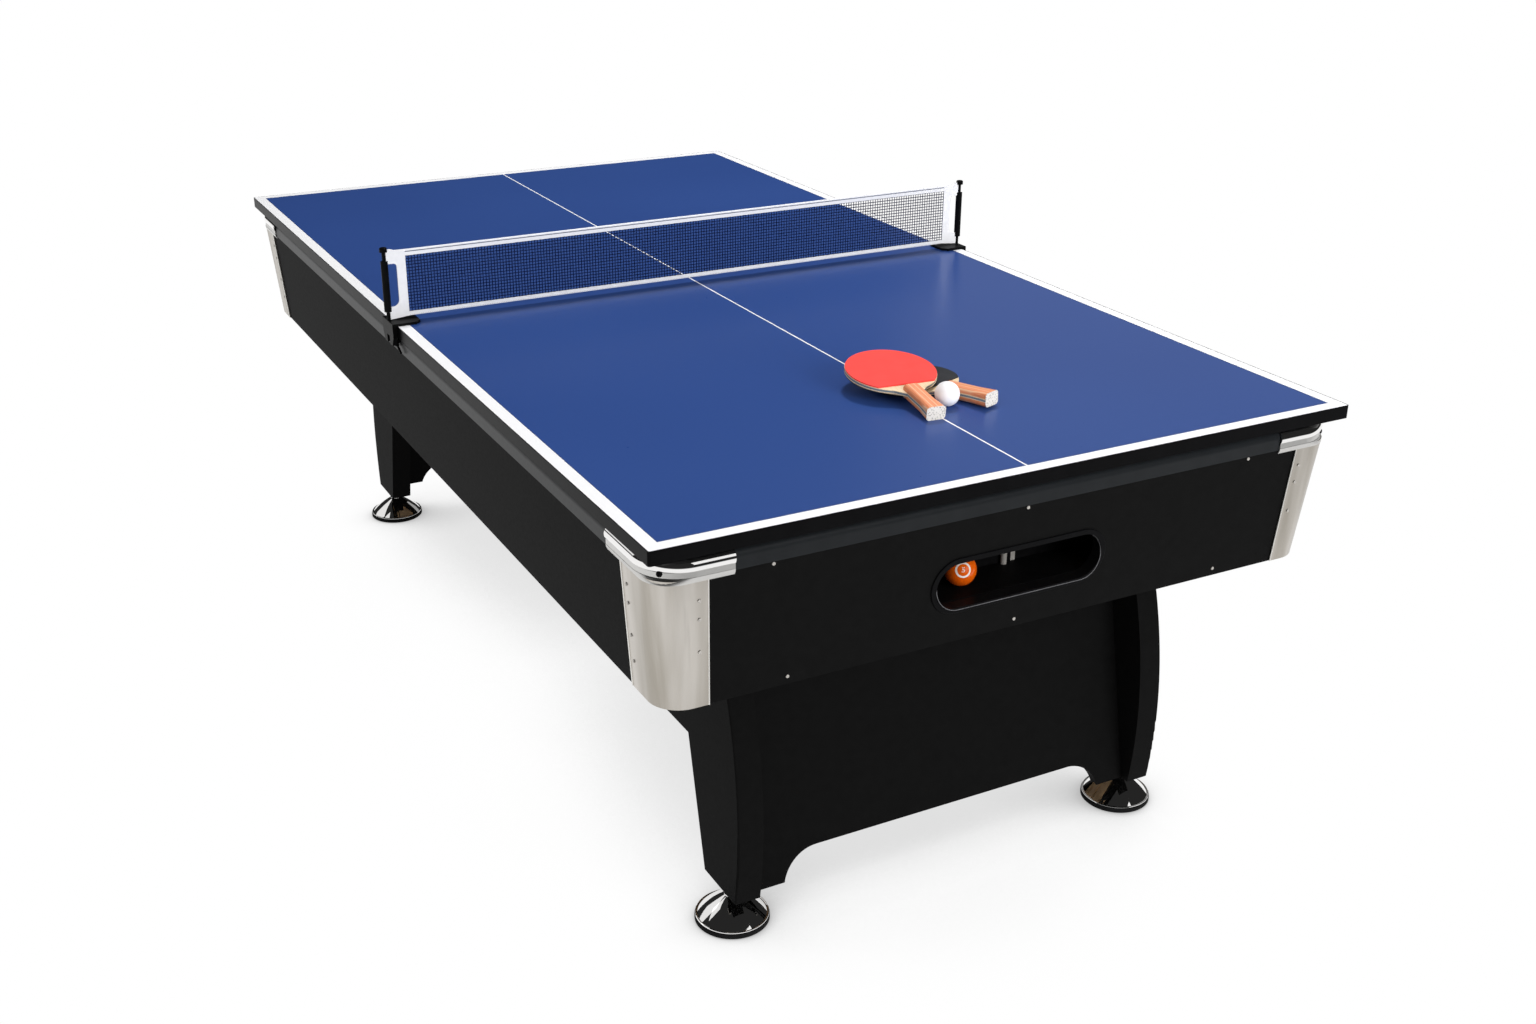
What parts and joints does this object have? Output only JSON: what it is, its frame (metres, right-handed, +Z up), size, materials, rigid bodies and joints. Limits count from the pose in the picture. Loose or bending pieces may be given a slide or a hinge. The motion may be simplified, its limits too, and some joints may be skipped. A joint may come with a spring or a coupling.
{
  "type": "multi game table",
  "caption": "Pool table on bowed legs with ball return, wearing a lift-off table tennis top with net set, paddles and balls.",
  "frame": {"origin": "on the floor, below the middle of the table", "axes": "+Y along the table away from the ball return end, +X across, +Z up"},
  "size_m": [1.246, 2.24, 0.914],
  "materials": {
    "black_laminate": "black melamine laminate, satin",
    "rail_lacquer": "black lacquer, semi gloss",
    "chrome": "mirror chrome plate",
    "satin_aluminium": "satin brushed",
    "zinc_steel": "bright zinc plate",
    "foot_rubber": "moulded, matte",
    "bearer_rubber": "soft pads, matte",
    "pocket_plastic": "moulded black",
    "runway_plastic": "moulded black",
    "gloss_trim": "black, glossy",
    "cloth": "napped wool blend cloth",
    "bed_board": "fibreboard",
    "frame_wood": "sawn softwood",
    "orange_ball": "polished resin",
    "blue_board": "blue table paint, low sheen",
    "net_thread": "knotted nylon net",
    "white_tape": "woven tape and sleeves",
    "clamp_black": "black powder coat",
    "white_ball": "fine matte",
    "ply": "limba plywood",
    "rubber_red": "smooth table tennis rubber",
    "rubber_black": "smooth table tennis rubber",
    "grip_wood": "oiled hardwood"
  },
  "bodies": {
    "table": {"leg_left_near": "black_laminate", "pocket_liner_left_near": "pocket_plastic", "leg_right_near": "black_laminate", "pocket_liner_right_near": "pocket_plastic", "leg_left_far": "black_laminate", "pocket_liner_left_far": "pocket_plastic", "leg_right_far": "black_laminate", "pocket_liner_right_far": "pocket_plastic", "end_panel_near": "black_laminate", "apron_near": "black_laminate", "rail_near": "rail_lacquer", "end_panel_far": "black_laminate", "apron_far": "black_laminate", "rail_far": "rail_lacquer", "side_beam_left": "black_laminate", "apron_left": "black_laminate", "rail_left": "rail_lacquer", "pocket_liner_left": "pocket_plastic", "ball_runway_left": "runway_plastic", "side_beam_right": "black_laminate", "apron_right": "black_laminate", "rail_right": "rail_lacquer", "pocket_liner_right": "pocket_plastic", "ball_runway_right": "runway_plastic", "corner_plates": "satin_aluminium", "corner_caps": "chrome", "cushions": "cloth", "bed_cloth": "cloth", "bed_slab": "bed_board", "cross_beams": "frame_wood", "return_bezel": "gloss_trim", "ball_tray": "runway_plastic", "fasteners": "zinc_steel"},
    "tennis_top": {"net_clamp_left": "clamp_black", "net_clamp_right": "clamp_black", "board_edge_band": "gloss_trim", "tennis_board": "blue_board", "board_bearers": "bearer_rubber", "net_mesh": "net_thread", "net_border": "white_tape"},
    "pool_ball": {"pool_ball": "orange_ball"},
    "tennis_ball": {"tennis_ball": "white_ball"},
    "paddle_red": {"paddle_red_blade": "ply", "paddle_red_rubber": "rubber_red", "paddle_red_grip": "grip_wood"},
    "paddle_black": {"paddle_black_blade": "ply", "paddle_black_rubber": "rubber_black", "paddle_black_grip": "grip_wood"},
    "clamp_screw_left": {"clamp_screw_left": "clamp_black", "clamp_pad_left": "zinc_steel"},
    "clamp_screw_right": {"clamp_screw_right": "clamp_black", "clamp_pad_right": "zinc_steel"},
    "foot_pad_left_near": {"foot_pad_left_near": "foot_rubber"},
    "foot_disc_left_near": {"foot_disc_left_near": "chrome"},
    "foot_pad_right_near": {"foot_pad_right_near": "foot_rubber"},
    "foot_disc_right_near": {"foot_disc_right_near": "chrome"},
    "foot_pad_left_far": {"foot_pad_left_far": "foot_rubber"},
    "foot_disc_left_far": {"foot_disc_left_far": "chrome"},
    "foot_pad_right_far": {"foot_pad_right_far": "foot_rubber"},
    "foot_disc_right_far": {"foot_disc_right_far": "chrome"}
  },
  "joints": [
    {"name": "top_lift", "type": "slide", "parent": "table", "child": "tennis_top", "axis": [0, 0, 1], "range_m": [0, 0.3]},
    {"name": "foot_level_left_near", "type": "slide", "parent": "table", "child": "foot_pad_left_near", "axis": [0, 0, -1], "range_m": [0, 0.012]},
    {"name": "foot_turn_left_near", "type": "hinge", "parent": "foot_pad_left_near", "child": "foot_disc_left_near", "pos_m": [-0.3875, -0.918, 0.05], "axis": [0, 0, -1], "range_deg": [0, 2160]},
    {"name": "foot_level_right_near", "type": "slide", "parent": "table", "child": "foot_pad_right_near", "axis": [0, 0, -1], "range_m": [0, 0.012]},
    {"name": "foot_turn_right_near", "type": "hinge", "parent": "foot_pad_right_near", "child": "foot_disc_right_near", "pos_m": [0.3875, -0.918, 0.05], "axis": [0, 0, -1], "range_deg": [0, 2160]},
    {"name": "foot_level_left_far", "type": "slide", "parent": "table", "child": "foot_pad_left_far", "axis": [0, 0, -1], "range_m": [0, 0.012]},
    {"name": "foot_turn_left_far", "type": "hinge", "parent": "foot_pad_left_far", "child": "foot_disc_left_far", "pos_m": [-0.3875, 0.918, 0.05], "axis": [0, 0, -1], "range_deg": [0, 2160]},
    {"name": "foot_level_right_far", "type": "slide", "parent": "table", "child": "foot_pad_right_far", "axis": [0, 0, -1], "range_m": [0, 0.012]},
    {"name": "foot_turn_right_far", "type": "hinge", "parent": "foot_pad_right_far", "child": "foot_disc_right_far", "pos_m": [0.3875, 0.918, 0.05], "axis": [0, 0, -1], "range_deg": [0, 2160]},
    {"name": "clamp_turn_left", "type": "hinge", "parent": "tennis_top", "child": "clamp_screw_left", "pos_m": [-0.6048, 0, 0.74], "axis": [0, 0, -1], "range_deg": [0, 170]},
    {"name": "clamp_turn_right", "type": "hinge", "parent": "tennis_top", "child": "clamp_screw_right", "pos_m": [0.6048, 0, 0.74], "axis": [0, 0, -1], "range_deg": [0, 170]},
    {"name": "paddle_red_lift", "type": "slide", "parent": "tennis_top", "child": "paddle_red", "axis": [0, 0, 1], "range_m": [0, 0.15]},
    {"name": "paddle_black_pull", "type": "slide", "parent": "tennis_top", "child": "paddle_black", "axis": [1, 0, 0], "range_m": [0, 0.2]},
    {"name": "tennis_ball_lift", "type": "slide", "parent": "tennis_top", "child": "tennis_ball", "axis": [0, 0, 1], "range_m": [0, 0.15]},
    {"name": "pool_ball_roll", "type": "slide", "parent": "table", "child": "pool_ball", "axis": [1, 0, 0], "range_m": [-0.07, 0.2]}
  ],
  "couplings": [
    {"joint": "foot_level_left_near", "follows": "foot_turn_left_near", "m_per_rad": 0.000318},
    {"joint": "foot_level_right_near", "follows": "foot_turn_right_near", "m_per_rad": 0.000318},
    {"joint": "foot_level_left_far", "follows": "foot_turn_left_far", "m_per_rad": 0.000318},
    {"joint": "foot_level_right_far", "follows": "foot_turn_right_far", "m_per_rad": 0.000318}
  ]
}
